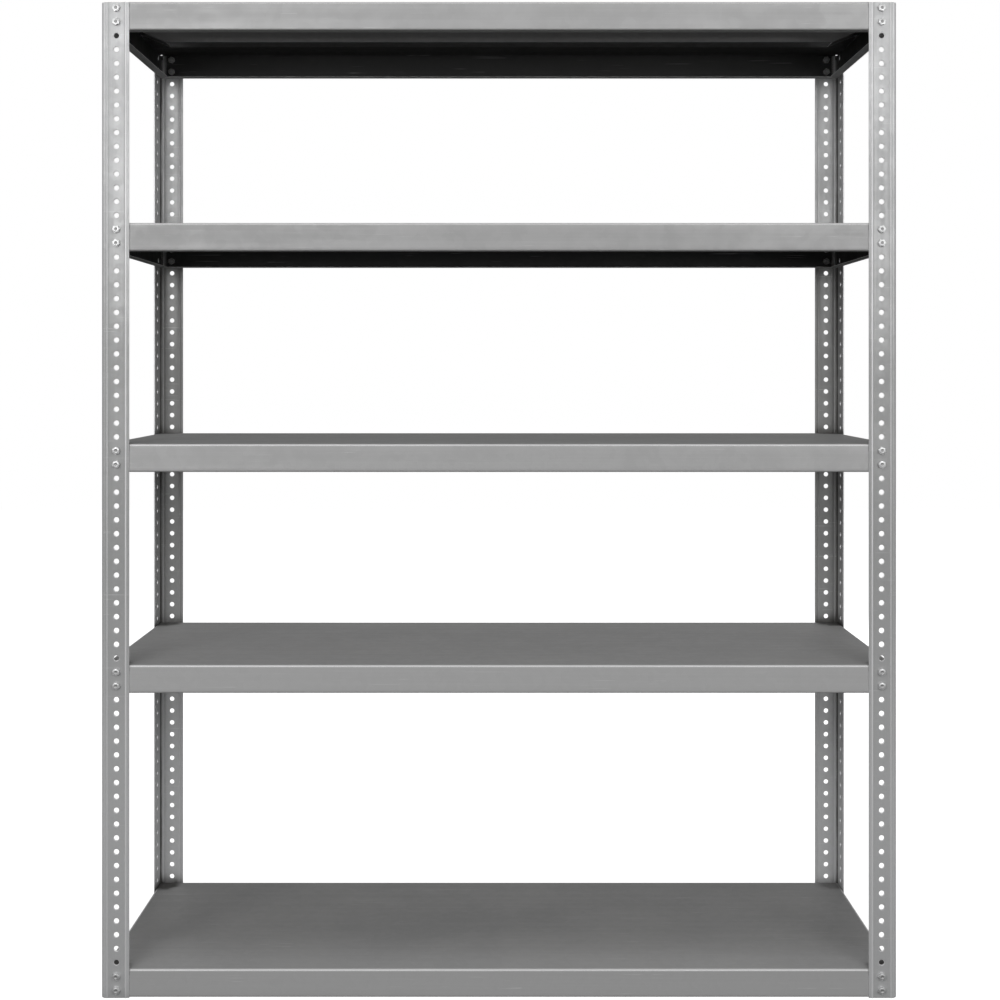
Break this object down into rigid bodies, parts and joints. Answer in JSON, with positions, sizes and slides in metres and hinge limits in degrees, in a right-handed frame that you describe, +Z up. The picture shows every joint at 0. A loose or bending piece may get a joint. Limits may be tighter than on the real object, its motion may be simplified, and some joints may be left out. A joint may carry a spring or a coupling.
{
  "type": "steel shelving unit",
  "caption": "Free-standing steel shelving: perforated angle posts with flanged sheet-steel pan shelves, stiffening channels under the decks, and hex bolts through the post holes.",
  "frame": {"origin": "centre of the footprint, on the floor plane under the posts", "axes": "+Z up, +X to the right along the shelves, -Y the front that goods are put in from"},
  "size_m": [1.462, 0.4676, 1.83],
  "materials": {
    "post_steel": "hot-dip galvanised angle, light grey, faint spangle and vertical streaks",
    "shelf_steel": "galvanised sheet, mid grey, satin, brighter on the bends",
    "channel_steel": "galvanised sheet, mid grey, satin",
    "bolt_zinc": "bright zinc plate",
    "nut_zinc": "bright zinc plate"
  },
  "bodies": {
    "root": {"post_front_left": "post_steel", "post_front_right": "post_steel", "post_rear_left": "post_steel", "post_rear_right": "post_steel", "shelf_top": "shelf_steel", "shelf_upper": "shelf_steel", "shelf_middle": "shelf_steel", "shelf_lower": "shelf_steel", "shelf_bottom": "shelf_steel", "channel_top": "channel_steel", "channel_upper": "channel_steel", "channel_middle": "channel_steel", "channel_lower": "channel_steel", "channel_bottom": "channel_steel", "bolts_front_top": "bolt_zinc", "bolts_front_upper": "bolt_zinc", "bolts_front_middle": "bolt_zinc", "bolts_front_lower": "bolt_zinc", "bolts_front_bottom": "bolt_zinc", "bolts_rear_top": "bolt_zinc", "bolts_rear_upper": "bolt_zinc", "bolts_rear_middle": "bolt_zinc", "bolts_rear_lower": "bolt_zinc", "bolts_rear_bottom": "bolt_zinc", "nuts_front_top": "nut_zinc", "nuts_front_upper": "nut_zinc", "nuts_front_middle": "nut_zinc", "nuts_front_lower": "nut_zinc", "nuts_front_bottom": "nut_zinc", "nuts_rear_top": "nut_zinc", "nuts_rear_upper": "nut_zinc", "nuts_rear_middle": "nut_zinc", "nuts_rear_lower": "nut_zinc", "nuts_rear_bottom": "nut_zinc"}
  },
  "joints": []
}
